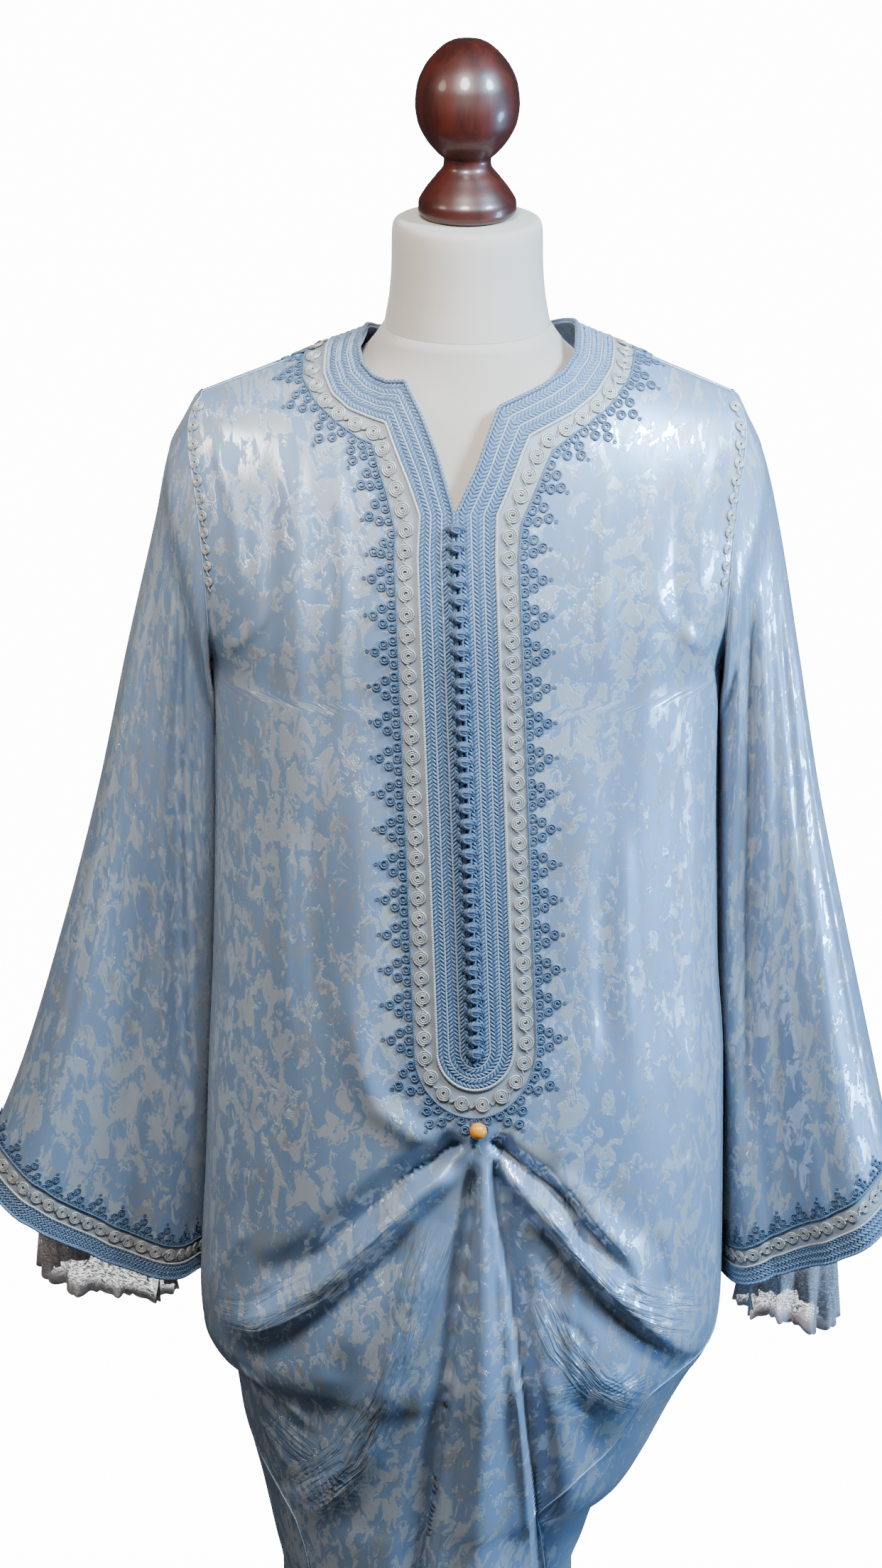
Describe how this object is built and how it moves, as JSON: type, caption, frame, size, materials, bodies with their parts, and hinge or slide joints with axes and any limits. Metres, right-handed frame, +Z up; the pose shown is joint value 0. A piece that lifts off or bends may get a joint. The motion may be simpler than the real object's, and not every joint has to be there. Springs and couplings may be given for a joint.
{
  "type": "kandura on a dress form",
  "caption": "Full-length loose robe with wide sleeves, braided neck and placket and small knotted buttons, worn by a limbless dress form on a round stand.",
  "frame": {"origin": "middle of the stand base's underside, on the floor", "axes": "+Z up, garment faces -Y, +X towards the wearer's left"},
  "size_m": [0.7507, 0.384, 1.7345],
  "materials": {
    "satin": "satin",
    "braid": "matte",
    "silver": "satin",
    "points": "matte",
    "button": "matte",
    "bead": "gloss",
    "lace": "matte",
    "jersey": "matte",
    "mahogany": "gloss",
    "steel": "brushed"
  },
  "bodies": {
    "root": {"body_front": "satin", "body_back": "satin", "sleeve_left": "satin", "sleeve_right": "satin", "neck_braid": "braid", "cuff_braid_left": "braid", "cuff_braid_right": "braid", "neck_coils": "silver", "cuff_coils_left": "silver", "cuff_coils_right": "silver", "arm_coils_left": "silver", "arm_coils_right": "silver", "neck_points": "points", "cuff_points_left": "points", "cuff_points_right": "points", "button_01": "button", "button_02": "button", "button_03": "button", "button_04": "button", "button_05": "button", "button_06": "button", "button_07": "button", "button_08": "button", "button_09": "button", "button_10": "button", "button_11": "button", "button_12": "button", "button_13": "button", "button_14": "button", "button_15": "button", "button_16": "button", "button_17": "button", "button_18": "button", "button_19": "button", "button_20": "button", "button_21": "button", "button_22": "button", "button_23": "button", "button_24": "button", "button_25": "button", "button_26": "button", "button_27": "button", "button_28": "button", "button_29": "button", "button_30": "button", "button_31": "button", "button_32": "button", "button_33": "button", "button_34": "button", "button_35": "button", "pin_bead": "bead", "frill_left": "lace", "frill_right": "lace", "form_torso": "jersey", "form_neck": "jersey", "finial": "mahogany", "base": "mahogany", "pole": "steel"}
  },
  "joints": []
}
